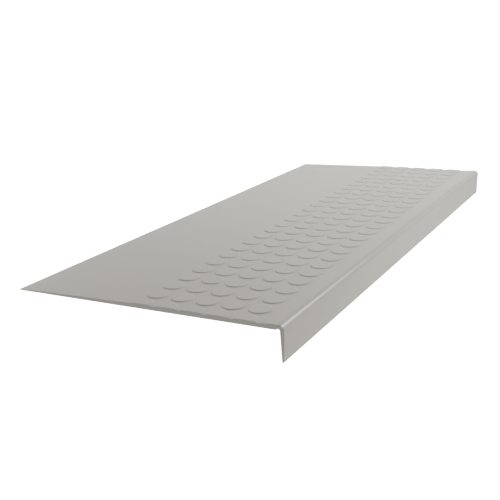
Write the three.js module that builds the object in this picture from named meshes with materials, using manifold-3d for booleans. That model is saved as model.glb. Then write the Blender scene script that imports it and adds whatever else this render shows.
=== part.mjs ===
// A stair tread mat: one moulded strip of rubber with round studs in front, a plain rear that thins towards its
// back edge, and a square nose that turns down over the edge of the step.
//
// Millimetres. X runs along the step, -Y points out over the nose and +Z is up. The underside that lies on the
// step is at Z = 0, and X = 0, Y = 0 is the middle of the whole length and the whole depth.

import * as THREE from "three";
import { mergeGeometries, mergeVertices } from "three/addons/utils/BufferGeometryUtils.js";
import Module from "manifold-3d";

const wasm = await Module();
wasm.setup();

// Overall sizes
const matLength = 762;
const matDepth = 324;

// Plate
const plateThickness = 4.1;
const rearEdgeThickness = 1;
const plainMargin = 3.6; // level ground left behind the rearmost studs

// Nose
const noseHeight = 37.2; // from the nose's top face down to the flap's lower edge
const noseThickness = 5.1; // the nose's top face above the underside
const noseStripWidth = 12; // level strip at full nose thickness
const noseSlopeWidth = 14; // from that strip down to the plate
const noseCornerRadius = 5;
const noseLeanDegrees = 2.1; // the flap's outer face leans back under the tread by this much
const flapRootThickness = 4.2;
const flapTipThickness = 1.7;

// Relief groove where the flap meets the underside, so that the step's sharp edge has room
const reliefDepth = 1.1;
const reliefWidth = 4.4;
const reliefWallSlope = 0.5;
const innerCornerRadius = 2.2;

// Studs
const studDiameter = 25.4;
const studRise = 1;
const studEdgeSlope = 0.7; // how much narrower a stud's top is than its foot, at each side
const studPitch = 30.1;
const studColumns = 5;
const firstColumnFromNose = 41.3;
const firstRowFromEnd = 2.2; // centre of the first row, so the cut passes beside it

// How the rounded shapes are divided
const studSides = 16;
const cornerSteps = 7;

// The strip is moulded longer than the mat and cut to length through whatever studs lie there
const cutAllowance = 20;
const rootInPlate = 1;

const rubberColour = 0xb2b0ac;

const noseY = -matDepth / 2;
const rearY = matDepth / 2;
const flapTipZ = noseThickness - noseHeight;
const studRadius = studDiameter / 2;
const lastColumnFromNose = firstColumnFromNose + (studColumns - 1) * studPitch;
const taperStartY = noseY + lastColumnFromNose + studRadius + plainMargin;

/** Points of an arc, both ends included, from one angle to another in radians. */
function arcPoints(centre, radius, from, to, steps) {
  const points = [];
  for (let i = 0; i <= steps; i += 1) {
    const angle = from + ((to - from) * i) / steps;
    const spoke = new THREE.Vector2(Math.cos(angle), Math.sin(angle));
    points.push(spoke.multiplyScalar(radius).add(centre));
  }
  return points;
}

/** Top of the section from the back edge to the outer foot of the flap, as points (y, z). */
function outerOutline() {
  const lean = THREE.MathUtils.degToRad(noseLeanDegrees);
  const centre = new THREE.Vector2(noseY + noseCornerRadius, noseThickness - noseCornerRadius);
  const corner = arcPoints(centre, noseCornerRadius, Math.PI / 2, Math.PI + lean, cornerSteps);
  const faceStart = corner[corner.length - 1];
  const flapFoot = new THREE.Vector2(faceStart.x + Math.tan(lean) * (faceStart.y - flapTipZ), flapTipZ);
  return [
    new THREE.Vector2(rearY, rearEdgeThickness),
    new THREE.Vector2(taperStartY, plateThickness),
    new THREE.Vector2(noseY + noseStripWidth + noseSlopeWidth, plateThickness),
    new THREE.Vector2(noseY + noseStripWidth, noseThickness),
    ...corner,
    flapFoot,
  ];
}

/** Inside of the section from the inner foot of the flap to the underside's back edge, as points (y, z). */
function innerOutline(flapFoot) {
  const foot = new THREE.Vector2(flapFoot.x + flapTipThickness, flapTipZ);
  const root = new THREE.Vector2(noseY + flapRootThickness, 0);
  const slant = Math.atan2(root.x - foot.x, root.y - foot.y);
  const centreZ = reliefDepth - innerCornerRadius;
  const wallY = root.x + Math.tan(slant) * centreZ;
  const centre = new THREE.Vector2(wallY + innerCornerRadius / Math.cos(slant), centreZ);
  const corner = arcPoints(centre, innerCornerRadius, Math.PI - slant, Math.PI / 2, cornerSteps);
  return [
    foot,
    ...corner,
    new THREE.Vector2(root.x + reliefWidth - reliefWallSlope, reliefDepth),
    new THREE.Vector2(root.x + reliefWidth, 0),
    new THREE.Vector2(rearY, 0),
  ];
}

/** The moulded strip without studs, longer than the mat by the allowance at each end. */
function strip() {
  const outer = outerOutline();
  const inner = innerOutline(outer[outer.length - 1]);
  const section = new THREE.Shape([...outer, ...inner]);
  const length = matLength + 2 * cutAllowance;
  const geometry = new THREE.ExtrudeGeometry(section, { depth: length, bevelEnabled: false });
  const alongY = new THREE.Vector3(0, 1, 0);
  const alongZ = new THREE.Vector3(0, 0, 1);
  const alongX = new THREE.Vector3(1, 0, 0);
  geometry.applyMatrix4(new THREE.Matrix4().makeBasis(alongY, alongZ, alongX));
  geometry.translate(-length / 2, 0, 0);
  return geometry;
}

/** One stud with its root in the plate, standing on the plate's top face at the given place. */
function stud(x, y) {
  const flarePerHeight = studEdgeSlope / studRise;
  const footRadius = studRadius + flarePerHeight * rootInPlate;
  const height = studRise + rootInPlate;
  const geometry = new THREE.CylinderGeometry(studRadius - studEdgeSlope, footRadius, height, studSides);
  geometry.rotateX(Math.PI / 2);
  geometry.translate(x, y, plateThickness + studRise - height / 2);
  return geometry;
}

/** X of every row of studs that the mat still holds some of. */
function studRows() {
  const rows = [];
  const rowsBefore = Math.floor((firstRowFromEnd + studRadius) / studPitch);
  let fromEnd = firstRowFromEnd - rowsBefore * studPitch;
  while (fromEnd - studRadius < matLength) {
    rows.push(fromEnd - matLength / 2);
    fromEnd += studPitch;
  }
  return rows;
}

/** All the studs, some of them reaching past the mat's ends. */
function studField() {
  const studs = [];
  for (const x of studRows()) {
    for (let column = 0; column < studColumns; column += 1) {
      studs.push(stud(x, noseY + firstColumnFromNose + column * studPitch));
    }
  }
  return mergeGeometries(studs);
}

/** A closed geometry as a solid that can be joined and cut. */
function solid(geometry) {
  const bare = geometry.clone();
  bare.deleteAttribute("normal");
  bare.deleteAttribute("uv");
  const merged = mergeVertices(bare, 1e-4);
  const vertProperties = new Float32Array(merged.attributes.position.array);
  const triVerts = new Uint32Array(merged.index.array);
  return new wasm.Manifold(new wasm.Mesh({ numProp: 3, vertProperties, triVerts }));
}

/** A solid back as a geometry. */
function geometryOf(solidShape) {
  const mesh = solidShape.getMesh();
  const geometry = new THREE.BufferGeometry();
  geometry.setAttribute("position", new THREE.BufferAttribute(new Float32Array(mesh.vertProperties), 3));
  geometry.setIndex(new THREE.BufferAttribute(new Uint32Array(mesh.triVerts), 1));
  geometry.computeVertexNormals();
  return geometry;
}

/** The mat's own length of the strip, as a block that everything is cut to. */
function cutToLength() {
  const roomAround = 2 * cutAllowance;
  const block = new THREE.BoxGeometry(matLength, matDepth + roomAround, 2 * noseHeight + roomAround);
  return solid(block);
}

/** The whole mat: strip and studs in one, cut square at both ends. */
function stairTread() {
  const moulding = solid(strip()).add(solid(studField()));
  const rubber = new THREE.MeshStandardMaterial({
    color: rubberColour,
    roughness: 0.75,
    metalness: 0,
    flatShading: true,
  });
  const mesh = new THREE.Mesh(geometryOf(moulding.intersect(cutToLength())), rubber);
  mesh.name = "stair_tread";
  return mesh;
}

const mat = new THREE.Group();
mat.name = "stair_tread_mat";
mat.add(stairTread());

export default mat;
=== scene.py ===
import math

import bmesh
import bpy
from mathutils import Matrix, Vector


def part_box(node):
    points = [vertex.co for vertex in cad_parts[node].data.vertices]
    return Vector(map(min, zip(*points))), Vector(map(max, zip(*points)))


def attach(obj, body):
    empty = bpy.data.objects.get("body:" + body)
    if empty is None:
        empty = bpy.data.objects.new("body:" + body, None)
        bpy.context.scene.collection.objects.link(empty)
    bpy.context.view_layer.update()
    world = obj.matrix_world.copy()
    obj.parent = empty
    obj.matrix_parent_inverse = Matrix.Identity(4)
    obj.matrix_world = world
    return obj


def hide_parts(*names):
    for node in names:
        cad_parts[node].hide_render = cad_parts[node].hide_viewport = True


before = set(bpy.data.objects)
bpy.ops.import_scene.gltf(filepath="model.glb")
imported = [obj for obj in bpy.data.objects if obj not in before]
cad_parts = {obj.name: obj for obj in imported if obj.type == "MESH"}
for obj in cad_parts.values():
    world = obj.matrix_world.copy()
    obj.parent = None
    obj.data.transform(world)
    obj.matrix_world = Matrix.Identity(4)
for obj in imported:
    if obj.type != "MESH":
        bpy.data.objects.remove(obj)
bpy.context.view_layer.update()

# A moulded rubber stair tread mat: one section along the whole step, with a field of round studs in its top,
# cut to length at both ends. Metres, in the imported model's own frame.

TREAD_NODE = "stair_tread"
TREAD_LOW, TREAD_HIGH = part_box(TREAD_NODE)
NOSE_Y = TREAD_LOW.y
REAR_Y = TREAD_HIGH.y
FLAP_TIP_Z = TREAD_LOW.z
NOSE_TOP_Z = TREAD_HIGH.z

# Plate
PLATE_TOP_Z = 0.0041
REAR_EDGE_THICKNESS = 0.001
TAPER_START_FROM_NOSE = 0.178

# Nose
NOSE_STRIP_WIDTH = 0.014
NOSE_SLOPE_WIDTH = 0.011
NOSE_CORNER_RADIUS = 0.005
NOSE_LEAN = math.radians(2.1)
NOSE_LEVEL_FROM_CORNER = 0.0056
FLAP_ROOT_THICKNESS = 0.0042
FLAP_TIP_THICKNESS = 0.0017
FLAP_TIP_ROUND = 0.0003

# Relief groove between the underside and the flap
RELIEF_DEPTH = 0.0011
RELIEF_WIDTH = 0.0044
RELIEF_WALL_SLOPE = 0.0005
INNER_CORNER_RADIUS = 0.0022

# Small roundings that the mould leaves
SMALL_ROUND = 0.0003
SLOPE_FOOT_ROUND = 0.02
SLOPE_HEAD_ROUND = 0.06
TAPER_ROUND = 0.06

# Studs
STUD_RADIUS = 0.0128
STUD_RISE = 0.001
STUD_EDGE_SLOPE = 0.00112
STUD_RIM_ROUND = 0.0013
STUD_FOOT_ROUND = 0.0011
STUD_LEVEL_RING = 0.0009
STUD_PITCH = 0.0301
STUD_COLUMNS = 5
FIRST_COLUMN_FROM_NOSE = 0.0413
FIRST_ROW_FROM_END = 0.0022

# How finely the round shapes are divided
SPOKES_PER_SIDE = 6
SPOKES = 4 * SPOKES_PER_SIDE
SECTION_ARC_STEP = math.radians(16)
STUD_ARC_STEP = math.radians(32)
WELD_DISTANCE = 0.000005
SHARP_ANGLE = math.radians(40)

# Wear of the stud rims, which also paints a faint highlight on them, most at the rim itself, and the name
# that it is stored under
STUD_WEAR_AND_HIGHLIGHT_REACH = 0.0012
STUD_WEAR_AND_HIGHLIGHT = 0.1
WEAR_AND_HIGHLIGHT = "wear_and_highlight"

# The near end has seen the most use and carries the most painted light and shade along the nose, less and
# less up to here
USE_AND_PAINTED_LIGHT_UP_TO_X = -0.13

# Colours of the rubber, as red, green, blue and opacity
CLOUD_TONES = (0.385, 0.379, 0.3585, 1), (0.397, 0.391, 0.3705, 1)
SPECK_TONE = (0.3, 0.29, 0.27, 1)
SPECK_STRENGTH = 0.12
YELLOWING = (1.014, 0.987, 0.96, 1)
# The rubbed tone lightens the stud rims, as wear and as a painted rim highlight
RUBBED_AND_HIGHLIGHT_TONE = (0.46, 0.45, 0.43, 1)

# Fineness of its patterns, as scale, detail and roughness of the noise
CLOUDS = (14, 3, 0.55)
SPECKS = (900, 2, 0.6)
GRAIN = (1500, 3, 0.6)
YELLOW_PATCHES = (22, 2, 0.5)

# Its surface
CLOUD_MIDDLE_RANGE = (0.3, 0.7)
ROUGHNESS_RANGE = (0.5, 0.58)
RUBBED_SHINE = 0.08
SPECULAR_LEVEL = 0.4
GRAIN_STRENGTH = 0.25
GRAIN_DEPTH = 0.0001


# Node building

def place(tree, kind, inputs=None, **settings):
    """Adds a node, with its settings and with each input set to a value or linked from a socket."""
    made = tree.nodes.new(kind)
    for name, value in settings.items():
        setattr(made, name, value)
    for name, value in (inputs or {}).items():
        if isinstance(value, bpy.types.NodeSocket):
            tree.links.new(value, made.inputs[name])
        else:
            made.inputs[name].default_value = value
    return made


def calculate(tree, operation, first, second=0.0):
    """The result of one sum on numbers or sockets."""
    return place(tree, "ShaderNodeMath", {0: first, 1: second}, operation=operation).outputs[0]


def noise(tree, coordinates, fineness):
    """Noise over the piece, about a half on average."""
    scale, detail, roughness = fineness
    return place(tree, "ShaderNodeTexNoise", {
        "Vector": coordinates, "Scale": scale, "Detail": detail, "Roughness": roughness}).outputs["Fac"]


def rescale(tree, value, span, result, **settings):
    """The value carried over from one span of numbers to another, and held inside it."""
    return place(tree, "ShaderNodeMapRange", {
        "Value": value, "From Min": span[0], "From Max": span[1],
        "To Min": result[0], "To Max": result[1]}, **settings).outputs[0]


def blend(tree, share, first, second, **settings):
    """The first colour with a share of the second."""
    return place(tree, "ShaderNodeMixRGB", {
        "Fac": share, "Color1": first, "Color2": second}, **settings).outputs[0]


def new_geometry_tree(name, sizes):
    """An empty geometry tree that takes an outline and named sizes. Returns it with its input node."""
    tree = bpy.data.node_groups.new(name, "GeometryNodeTree")
    tree.interface.new_socket("Outline", in_out="INPUT", socket_type="NodeSocketGeometry")
    for label, kind in sizes.items():
        tree.interface.new_socket(label, in_out="INPUT", socket_type=kind)
    tree.interface.new_socket("Surface", in_out="OUTPUT", socket_type="NodeSocketGeometry")
    return tree, tree.nodes.new("NodeGroupInput")


def run_tree(tree, outline_mesh, sizes):
    """What the tree makes from an outline and its named sizes, as a plain mesh."""
    carrier = bpy.data.objects.new(tree.name, outline_mesh)
    bpy.context.scene.collection.objects.link(carrier)
    modifier = carrier.modifiers.new(tree.name, "NODES")
    modifier.node_group = tree
    for item in tree.interface.items_tree:
        if item.in_out == "INPUT" and item.name in sizes:
            modifier[item.identifier] = sizes[item.name]
    made = bpy.data.meshes.new_from_object(carrier.evaluated_get(bpy.context.evaluated_depsgraph_get()))
    carrier.modifiers.remove(modifier)
    bpy.data.objects.remove(carrier)
    return made


# Outlines

def rounded(corners, arc_step):
    """Points of an open outline whose corners are given as (along, up, radius of its rounding)."""
    points = [Vector(corners[0][:2])]
    for before, here, after in zip(corners, corners[1:], corners[2:]):
        apex, radius = Vector(here[:2]), here[2]
        if radius == 0:
            points.append(apex)
            continue
        back = (Vector(before[:2]) - apex).normalized()
        ahead = (Vector(after[:2]) - apex).normalized()
        half_corner = back.angle(ahead) / 2
        centre = apex + (back + ahead).normalized() * (radius / math.sin(half_corner))
        spoke = apex + back * (radius / math.tan(half_corner)) - centre
        turn = math.pi - 2 * half_corner
        if back.x * ahead.y - back.y * ahead.x > 0:
            turn = -turn
        steps = max(2, math.ceil(abs(turn) / arc_step))
        for step in range(steps + 1):
            angle = turn * step / steps
            across = Vector((-spoke.y, spoke.x))
            points.append(centre + spoke * math.cos(angle) + across * math.sin(angle))
    points.append(Vector(corners[-1][:2]))
    return points


def outline_mesh(name, points, rim=None):
    """The outline as a line of vertices (along, 0, up), worn and given a painted highlight near its rim if it
    has one.
    """
    mesh = bpy.data.meshes.new(name)
    edges = [(i, i + 1) for i in range(len(points) - 1)]
    mesh.from_pydata([(p.x, 0, p.y) for p in points], edges, [])
    wear_and_highlight = mesh.attributes.new(WEAR_AND_HIGHLIGHT, "FLOAT", "POINT")
    if rim:
        for stored, point in zip(wear_and_highlight.data, points):
            stored.value = STUD_WEAR_AND_HIGHLIGHT * max(0, 1 - (point - rim).length / STUD_WEAR_AND_HIGHLIGHT_REACH)
    return mesh


def field_edge_y(column):
    """Y of the studded field's edge before the given column."""
    return NOSE_Y + FIRST_COLUMN_FROM_NOSE + (column - 0.5) * STUD_PITCH


def nose_corner():
    """Where the nose's top and its leaning face would meet if they weren't rounded."""
    centre = Vector((NOSE_Y + NOSE_CORNER_RADIUS, NOSE_TOP_Z - NOSE_CORNER_RADIUS))
    touch = centre - NOSE_CORNER_RADIUS * Vector((math.cos(NOSE_LEAN), math.sin(NOSE_LEAN)))
    return Vector((touch.x - math.tan(NOSE_LEAN) * (NOSE_TOP_Z - touch.y), NOSE_TOP_Z))


def on_nose_corner(angle):
    """The point of the nose's rounded corner whose surface leans forward by the given angle."""
    centre = Vector((NOSE_Y + NOSE_CORNER_RADIUS, NOSE_TOP_Z - NOSE_CORNER_RADIUS))
    return centre + NOSE_CORNER_RADIUS * Vector((-math.sin(angle), math.cos(angle)))


# Painted light and shade along the nose: a painted shade on its top, painted light low on its rounded corner
# where it turns into the face, and a pale painted highlight higher on its corner.
# Each has its middle, its reach, its strength at the far and at the near end, and its colour.
NOSE_PAINTED_LIGHT_AND_SHADE = (
    (Vector((NOSE_Y + 0.0052, NOSE_TOP_Z)), 0.0042, (0.7, 1.0), (0.345, 0.338, 0.32, 1)),
    (on_nose_corner(math.radians(62)), 0.0032, (0.0, 0.7), (0.43, 0.418, 0.4, 1)),
    (on_nose_corner(math.radians(35.5)), 0.0021, (0.05, 1.0), (0.62, 0.61, 0.585, 1)),
)


def section_corners():
    """The section round the mat, from the studded field's front edge over the nose to its rear edge."""
    corner = nose_corner()
    tip_outside = corner.x + math.tan(NOSE_LEAN) * (corner.y - FLAP_TIP_Z)
    tip_inside = tip_outside + FLAP_TIP_THICKNESS
    root_y = NOSE_Y + FLAP_ROOT_THICKNESS
    slant = (root_y - tip_inside) / -FLAP_TIP_Z
    relief_start = root_y + slant * RELIEF_DEPTH
    relief_end = root_y + RELIEF_WIDTH
    slope_foot = NOSE_Y + NOSE_STRIP_WIDTH + NOSE_SLOPE_WIDTH
    face_start = corner + NOSE_LEVEL_FROM_CORNER * Vector((math.sin(NOSE_LEAN), -math.cos(NOSE_LEAN)))
    return [
        (field_edge_y(0), PLATE_TOP_Z, 0),
        (slope_foot, PLATE_TOP_Z, SLOPE_FOOT_ROUND),
        (NOSE_Y + NOSE_STRIP_WIDTH, NOSE_TOP_Z, SLOPE_HEAD_ROUND),
        (corner.x + NOSE_LEVEL_FROM_CORNER, corner.y, 0),
        (corner.x, corner.y, NOSE_CORNER_RADIUS),
        (face_start.x, face_start.y, 0),
        (tip_outside, FLAP_TIP_Z, FLAP_TIP_ROUND),
        (tip_inside, FLAP_TIP_Z, FLAP_TIP_ROUND),
        (relief_start, RELIEF_DEPTH, INNER_CORNER_RADIUS),
        (relief_end - RELIEF_WALL_SLOPE, RELIEF_DEPTH, SMALL_ROUND),
        (relief_end, 0, SMALL_ROUND),
        (REAR_Y, 0, SMALL_ROUND),
        (REAR_Y, REAR_EDGE_THICKNESS, SMALL_ROUND),
        (NOSE_Y + TAPER_START_FROM_NOSE, PLATE_TOP_Z, TAPER_ROUND),
        (field_edge_y(STUD_COLUMNS), PLATE_TOP_Z, 0),
    ]


def stud_corners():
    """A stud and the level ground round it, from its middle out to the edge of its square of the field."""
    top = PLATE_TOP_Z + STUD_RISE
    rim = STUD_RADIUS - STUD_EDGE_SLOPE
    return [
        (0, top, 0),
        (rim - STUD_LEVEL_RING, top, 0),
        (rim, top, STUD_RIM_ROUND),
        (STUD_RADIUS, PLATE_TOP_Z, STUD_FOOT_ROUND),
        (STUD_RADIUS + STUD_LEVEL_RING, PLATE_TOP_Z, 0),
        (STUD_PITCH / 2, PLATE_TOP_Z, 0),
    ]


# Geometry trees

def sampled_outline(tree, outline, ring):
    """Position and wear, with its painted highlight, of the outline's point with the given number."""
    position = place(tree, "GeometryNodeInputPosition").outputs["Position"]
    wear_and_highlight = place(
        tree, "GeometryNodeInputNamedAttribute", {"Name": WEAR_AND_HIGHLIGHT}, data_type="FLOAT").outputs["Attribute"]
    point = place(
        tree, "GeometryNodeSampleIndex", {"Geometry": outline, "Value": position, "Index": ring},
        data_type="FLOAT_VECTOR", domain="POINT")
    worn_and_highlighted = place(
        tree, "GeometryNodeSampleIndex", {"Geometry": outline, "Value": wear_and_highlight, "Index": ring},
        data_type="FLOAT", domain="POINT")
    return place(tree, "ShaderNodeSeparateXYZ", {0: point.outputs[0]}), worn_and_highlighted.outputs[0]


def swept_grid(tree, outline, lines):
    """A grid with one row of points for each point of the outline, and what numbers its rows and lines."""
    count = place(tree, "GeometryNodeAttributeDomainSize", {"Geometry": outline}, component="MESH")
    rings = count.outputs["Point Count"]
    grid = place(tree, "GeometryNodeMeshGrid", {"Vertices X": lines, "Vertices Y": rings})
    index = place(tree, "GeometryNodeInputIndex").outputs[0]
    ring = calculate(tree, "MODULO", index, rings)
    line = calculate(tree, "FLOOR", calculate(tree, "DIVIDE", index, rings))
    return grid.outputs["Mesh"], rings, ring, line


def shaped(tree, grid, x, y, z, wear_and_highlight):
    """The grid with every point put in its place and given its wear and painted highlight."""
    position = place(tree, "ShaderNodeCombineXYZ", {"X": x, "Y": y, "Z": z})
    moved = place(tree, "GeometryNodeSetPosition", {"Geometry": grid, "Position": position.outputs[0]})
    worn_and_highlighted = place(
        tree, "GeometryNodeStoreNamedAttribute", {"Geometry": moved.outputs[0], "Name": WEAR_AND_HIGHLIGHT, "Value": wear_and_highlight},
        data_type="FLOAT", domain="POINT")
    return worn_and_highlighted.outputs[0]


def welded(tree, surface):
    """The surface with the points that lie on each other made one."""
    return place(tree, "GeometryNodeMergeByDistance", {
        "Geometry": surface, "Distance": WELD_DISTANCE}).outputs[0]


def finish_tree(tree, surface, material):
    """Ends a tree: instances made real, neighbours welded, material set."""
    real = place(tree, "GeometryNodeRealizeInstances", {"Geometry": surface})
    joined = welded(tree, real.outputs[0])
    dressed = place(tree, "GeometryNodeSetMaterial", {"Geometry": joined, "Material": material})
    place(tree, "NodeGroupOutput", {"Surface": dressed.outputs[0]})


def stud_field_tree():
    """One stud spun from its outline on its own square, then repeated over the field."""
    tree, given = new_geometry_tree("stud_field", {
        "Pitch": "NodeSocketFloat",
        "Rows": "NodeSocketInt",
        "Columns": "NodeSocketInt",
        "Spokes": "NodeSocketInt",
        "Middle": "NodeSocketVector",
        "Material": "NodeSocketMaterial",
    })
    outline, spokes = given.outputs["Outline"], given.outputs["Spokes"]
    grid, rings, ring, spoke = swept_grid(tree, outline, calculate(tree, "ADD", spokes, 1))
    point, wear_and_highlight = sampled_outline(tree, outline, ring)
    angle = calculate(tree, "DIVIDE", calculate(tree, "MULTIPLY", spoke, 2 * math.pi), spokes)
    cosine, sine = calculate(tree, "COSINE", angle), calculate(tree, "SINE", angle)
    # The last ring alone is drawn out from a circle to the edge of the square
    squareness = calculate(
        tree, "MAXIMUM", calculate(tree, "ABSOLUTE", cosine), calculate(tree, "ABSOLUTE", sine))
    ring_before_last = calculate(tree, "SUBTRACT", rings, 2)
    is_last = calculate(tree, "GREATER_THAN", ring, ring_before_last)
    divisor = calculate(tree, "POWER", squareness, is_last)
    reach = calculate(tree, "DIVIDE", point.outputs["X"], divisor)
    stud = shaped(
        tree, grid, calculate(tree, "MULTIPLY", reach, cosine), calculate(tree, "MULTIPLY", reach, sine),
        point.outputs["Z"], wear_and_highlight)
    pitch, rows, columns = given.outputs["Pitch"], given.outputs["Rows"], given.outputs["Columns"]
    length = calculate(tree, "MULTIPLY", pitch, calculate(tree, "SUBTRACT", rows, 1))
    depth = calculate(tree, "MULTIPLY", pitch, calculate(tree, "SUBTRACT", columns, 1))
    places = place(tree, "GeometryNodeMeshGrid", {
        "Size X": length, "Size Y": depth, "Vertices X": rows, "Vertices Y": columns})
    studs = place(tree, "GeometryNodeInstanceOnPoints", {
        "Points": places.outputs["Mesh"], "Instance": welded(tree, stud)})
    moved = place(tree, "GeometryNodeTransform", {
        "Geometry": studs.outputs[0], "Translation": given.outputs["Middle"]})
    finish_tree(tree, moved.outputs[0], given.outputs["Material"])
    return tree


def moulded_strip_tree():
    """The section drawn along the step, with its lines where the squares of the studded field have theirs."""
    tree, given = new_geometry_tree("moulded_strip", {
        "Pitch": "NodeSocketFloat",
        "Rows": "NodeSocketInt",
        "Lines per Square": "NodeSocketInt",
        "Start": "NodeSocketFloat",
        "Material": "NodeSocketMaterial",
    })
    outline, pitch, per_square = (given.outputs[name] for name in ("Outline", "Pitch", "Lines per Square"))
    last_line = calculate(tree, "MULTIPLY", given.outputs["Rows"], per_square)
    grid, _, ring, line = swept_grid(tree, outline, calculate(tree, "ADD", last_line, 1))
    point, wear_and_highlight = sampled_outline(tree, outline, ring)
    square = calculate(tree, "FLOOR", calculate(tree, "DIVIDE", line, per_square))
    share = calculate(tree, "DIVIDE", calculate(tree, "MODULO", line, per_square), per_square)
    # A stud's spokes meet the side of its square at the tangents of their angles
    spoke_angle = calculate(tree, "MULTIPLY", calculate(tree, "SUBTRACT", share, 0.5), math.pi / 2)
    from_middle = calculate(tree, "MULTIPLY", calculate(tree, "TANGENT", spoke_angle), 0.5)
    squares = calculate(tree, "ADD", square, calculate(tree, "ADD", from_middle, 0.5))
    x = calculate(tree, "ADD", given.outputs["Start"], calculate(tree, "MULTIPLY", squares, pitch))
    strip = shaped(tree, grid, x, point.outputs["X"], point.outputs["Z"], wear_and_highlight)
    finish_tree(tree, strip, given.outputs["Material"])
    return tree


# The mat

def tread_mesh(material):
    """The whole mat: studded field and moulded strip welded along their edges, cut square at both ends."""
    first_x = TREAD_LOW.x + FIRST_ROW_FROM_END
    rows = 1 + math.ceil((TREAD_HIGH.x - first_x - STUD_PITCH / 2) / STUD_PITCH)
    half_pitch = STUD_PITCH / 2
    middle = (
        first_x + (rows - 1) * half_pitch,
        NOSE_Y + FIRST_COLUMN_FROM_NOSE + (STUD_COLUMNS - 1) * half_pitch,
        0,
    )
    rim = Vector((STUD_RADIUS - STUD_EDGE_SLOPE, PLATE_TOP_Z + STUD_RISE))
    stud_outline = outline_mesh("stud_outline", rounded(stud_corners(), STUD_ARC_STEP), rim)
    field = run_tree(stud_field_tree(), stud_outline, {
        "Pitch": STUD_PITCH, "Rows": rows, "Columns": STUD_COLUMNS, "Spokes": SPOKES,
        "Middle": middle, "Material": material})
    section = outline_mesh("section", rounded(section_corners(), SECTION_ARC_STEP))
    strip = run_tree(moulded_strip_tree(), section, {
        "Pitch": STUD_PITCH, "Rows": rows, "Lines per Square": SPOKES_PER_SIDE,
        "Start": first_x - half_pitch, "Material": material})
    form = bmesh.new()
    form.from_mesh(field)
    form.from_mesh(strip)
    bmesh.ops.remove_doubles(form, verts=form.verts, dist=WELD_DISTANCE)
    cut_to_length(form)
    bmesh.ops.recalc_face_normals(form, faces=form.faces)
    mark_sharp_edges(form)
    mesh = bpy.data.meshes.new("tread")
    form.to_mesh(mesh)
    form.free()
    mesh.materials.append(material)
    return mesh


def cut_to_length(form):
    """Cuts the strip square at both ends, through whatever studs lie there, and closes the cuts."""
    for end, outwards in ((TREAD_LOW, -1), (TREAD_HIGH, 1)):
        everything = form.verts[:] + form.edges[:] + form.faces[:]
        cut = bmesh.ops.bisect_plane(
            form, geom=everything, dist=WELD_DISTANCE, plane_co=(end.x, 0, 0),
            plane_no=(outwards, 0, 0), clear_outer=True)
        rim = [piece for piece in cut["geom_cut"] if isinstance(piece, bmesh.types.BMEdge)]
        bmesh.ops.triangle_fill(form, edges=rim, use_beauty=True, normal=(outwards, 0, 0))


def mark_sharp_edges(form):
    """Shades the form smooth, except over its cut edges."""
    for face in form.faces:
        face.smooth = True
    for edge in form.edges:
        edge.smooth = not edge.is_manifold or edge.calc_face_angle() < SHARP_ANGLE


# Finishes

def rubber_material():
    """Matt moulded rubber: a warm light grey with a fine grain and faint clouds, its stud rims rubbed
    lighter, which also paints a faint highlight on them, and painted shade, painted light and a painted
    highlight along the nose.
    """
    material = bpy.data.materials.new("rubber")
    material.use_nodes = True
    tree = material.node_tree
    shader = tree.nodes["Principled BSDF"]
    coordinates = place(tree, "ShaderNodeTexCoord").outputs["Object"]
    along = place(tree, "ShaderNodeSeparateXYZ", {0: coordinates}).outputs
    clouds = noise(tree, coordinates, CLOUDS)
    wear_and_highlight = place(tree, "ShaderNodeAttribute", attribute_name=WEAR_AND_HIGHLIGHT).outputs["Fac"]
    # Ramp of use and of the nose's painted light and shade, full at the near end
    use_and_painted_light = rescale(tree, along["X"], (TREAD_LOW.x, USE_AND_PAINTED_LIGHT_UP_TO_X), (1.0, 0.0))
    colour = blend(tree, clouds, *CLOUD_TONES)
    specks = calculate(tree, "MULTIPLY", noise(tree, coordinates, SPECKS), SPECK_STRENGTH)
    colour = blend(tree, specks, colour, SPECK_TONE)
    patches = calculate(tree, "MULTIPLY", noise(tree, coordinates, YELLOW_PATCHES), 2.0)
    yellowed = calculate(tree, "MULTIPLY", use_and_painted_light, patches)
    colour = blend(tree, yellowed, colour, YELLOWING, blend_type="MULTIPLY")
    # Painted shade, painted light and a painted highlight along the nose, each strongest at the near end
    for middle, reach, strengths, painted_tone in NOSE_PAINTED_LIGHT_AND_SHADE:
        off_line = place(tree, "ShaderNodeCombineXYZ", {
            "X": calculate(tree, "SUBTRACT", along["Y"], middle.x),
            "Y": calculate(tree, "SUBTRACT", along["Z"], middle.y)})
        distance = place(tree, "ShaderNodeVectorMath", {0: off_line.outputs[0]}, operation="LENGTH")
        line = rescale(
            tree, distance.outputs["Value"], (0.0, reach), (1.0, 0.0), interpolation_type="SMOOTHSTEP")
        strength = rescale(tree, use_and_painted_light, (0.0, 1.0), strengths)
        colour = blend(tree, calculate(tree, "MULTIPLY", line, strength), colour, painted_tone)
    # Stud rims lightened towards the rubbed tone: wear and a painted rim highlight
    tree.links.new(blend(tree, wear_and_highlight, colour, RUBBED_AND_HIGHLIGHT_TONE), shader.inputs["Base Color"])
    dull = rescale(tree, clouds, CLOUD_MIDDLE_RANGE, ROUGHNESS_RANGE)
    polish = calculate(tree, "MULTIPLY", wear_and_highlight, RUBBED_SHINE)
    tree.links.new(calculate(tree, "SUBTRACT", dull, polish), shader.inputs["Roughness"])
    bump = place(tree, "ShaderNodeBump", {
        "Height": noise(tree, coordinates, GRAIN), "Strength": GRAIN_STRENGTH, "Distance": GRAIN_DEPTH})
    tree.links.new(bump.outputs[0], shader.inputs["Normal"])
    shader.inputs["Specular IOR Level"].default_value = SPECULAR_LEVEL
    return material


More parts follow.
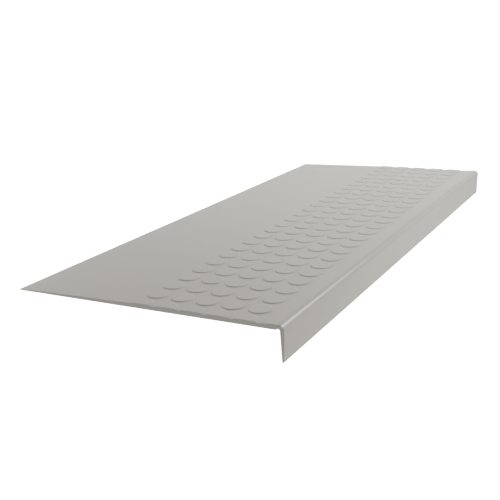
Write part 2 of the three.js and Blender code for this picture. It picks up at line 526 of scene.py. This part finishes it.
def floor_material():
    """Plain matt studio floor that glows a little, as a light table does."""
    material = bpy.data.materials.new("studio_floor")
    material.use_nodes = True
    inputs = material.node_tree.nodes["Principled BSDF"].inputs
    inputs["Base Color"].default_value = FLOOR_TONE
    inputs["Roughness"].default_value = FLOOR_ROUGHNESS
    inputs["Specular IOR Level"].default_value = FLOOR_SPECULAR_LEVEL
    inputs["Emission Color"].default_value = WHITE
    inputs["Emission Strength"].default_value = FLOOR_GLOW
    return material


# Studio

WHITE = (1, 1, 1, 1)

FLOOR_Z = -1.5
FLOOR_HALF_WIDTH = 60
FLOOR_TONE = (0.92, 0.92, 0.92, 1)
FLOOR_ROUGHNESS = 0.9
FLOOR_SPECULAR_LEVEL = 0.1
FLOOR_GLOW = 0.625

CAMERA_PLACE = Vector((-1.0113, -0.4767, 0.2873))
CAMERA_HEADING = math.radians(61.615)
CAMERA_DIP = math.radians(16.453)
CAMERA_ROLL = math.radians(-2.482)
CAMERA_LENS = 58.83
CAMERA_SENSOR_WIDTH = 36
CAMERA_SHIFT = (-0.012, 0.0)

# Lobes of the light all round, as direction, sharpness and brightness
WORLD_LOBES = (
    ((0, 0, 1), 2, 0.64),
    ((1, 0, 0), 2, 0.12),
    ((0, -1, 0), 2, 0.17),
    ((0, 1, 0), 12, 4.8),
    ((0.919, 0.335, 0.208), 12, 0.57),
    ((0.692, 0.692, 0.208), 12, 0.45),
)
BACKDROP_BRIGHTNESS = 1.1

# Soft lamps, as place, width and power
SOFTBOX_AIM = (0.1, 0, 0)
SOFTBOXES = {
    "overhead_softbox": ((0.6, 0, 1.2), 1.0, 11.4),
    "front_softbox": ((0.8, -0.8, 0.7), 0.5, 4.4),
    "rear_softbox": ((0.2, 0.9, 0.4), 0.5, 0.7),
    "nose_softbox": ((0.03, -0.8, 0.05), 0.4, 1.45),
}


def studio_floor():
    """A wide plain floor, well below the mat, which hangs free as it has no step under it here."""
    mesh = bpy.data.meshes.new("studio_floor")
    w = FLOOR_HALF_WIDTH
    corners = [(-w, -w, FLOOR_Z), (w, -w, FLOOR_Z), (w, w, FLOOR_Z), (-w, w, FLOOR_Z)]
    mesh.from_pydata(corners, [], [(0, 1, 2, 3)])
    mesh.materials.append(floor_material())
    floor = bpy.data.objects.new("studio_floor", mesh)
    bpy.context.scene.collection.objects.link(floor)


def studio_world():
    """Soft light from all round in broad lobes, before a white backdrop."""
    world = bpy.data.worlds.new("studio")
    bpy.context.scene.world = world
    world.use_nodes = True
    tree = world.node_tree
    direction = place(tree, "ShaderNodeTexCoord").outputs["Generated"]
    strength = 0.0
    for middle, sharpness, brightness in WORLD_LOBES:
        alike = place(tree, "ShaderNodeVectorMath", {0: direction, 1: middle}, operation="DOT_PRODUCT")
        facing = calculate(tree, "MAXIMUM", alike.outputs["Value"])
        lobe = calculate(tree, "MULTIPLY", calculate(tree, "POWER", facing, sharpness), brightness)
        strength = calculate(tree, "ADD", strength, lobe)
    seen = place(tree, "ShaderNodeLightPath").outputs["Is Camera Ray"]
    shown = place(tree, "ShaderNodeMix", {0: seen, 2: strength, 3: BACKDROP_BRIGHTNESS})
    background = tree.nodes["Background"]
    background.inputs["Color"].default_value = WHITE
    tree.links.new(shown.outputs[0], background.inputs["Strength"])


def softbox(name, place_at, width, power):
    """A square soft lamp at a place, aimed at the mat."""
    lamp = bpy.data.lights.new(name, "AREA")
    lamp.size = width
    lamp.energy = power
    holder = bpy.data.objects.new(name, lamp)
    holder.location = place_at
    holder.rotation_euler = (Vector(SOFTBOX_AIM) - Vector(place_at)).to_track_quat("-Z", "Y").to_euler()
    bpy.context.scene.collection.objects.link(holder)


def studio_camera():
    """The camera that sees the mat from the photo's angle."""
    forward = Vector((
        math.sin(CAMERA_HEADING) * math.cos(CAMERA_DIP),
        math.cos(CAMERA_HEADING) * math.cos(CAMERA_DIP),
        -math.sin(CAMERA_DIP)))
    level_right = Vector((math.cos(CAMERA_HEADING), -math.sin(CAMERA_HEADING), 0))
    right = Matrix.Rotation(-CAMERA_ROLL, 3, forward) @ level_right
    up = right.cross(forward)
    lens = bpy.data.cameras.new("camera")
    lens.sensor_width = CAMERA_SENSOR_WIDTH
    lens.lens = CAMERA_LENS
    lens.shift_x, lens.shift_y = CAMERA_SHIFT
    camera = bpy.data.objects.new("camera", lens)
    turn = Matrix((right, up, -forward)).transposed()
    camera.matrix_world = Matrix.Translation(CAMERA_PLACE) @ turn.to_4x4()
    bpy.context.scene.collection.objects.link(camera)
    bpy.context.scene.camera = camera


studio_camera()
studio_floor()
studio_world()
for softbox_name, (softbox_place, softbox_width, softbox_power) in SOFTBOXES.items():
    softbox(softbox_name, softbox_place, softbox_width, softbox_power)
bpy.context.scene.view_settings.view_transform = "Standard"

tread = bpy.data.objects.new("tread", tread_mesh(rubber_material()))
bpy.context.scene.collection.objects.link(tread)
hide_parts(TREAD_NODE)
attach(tread, "root")
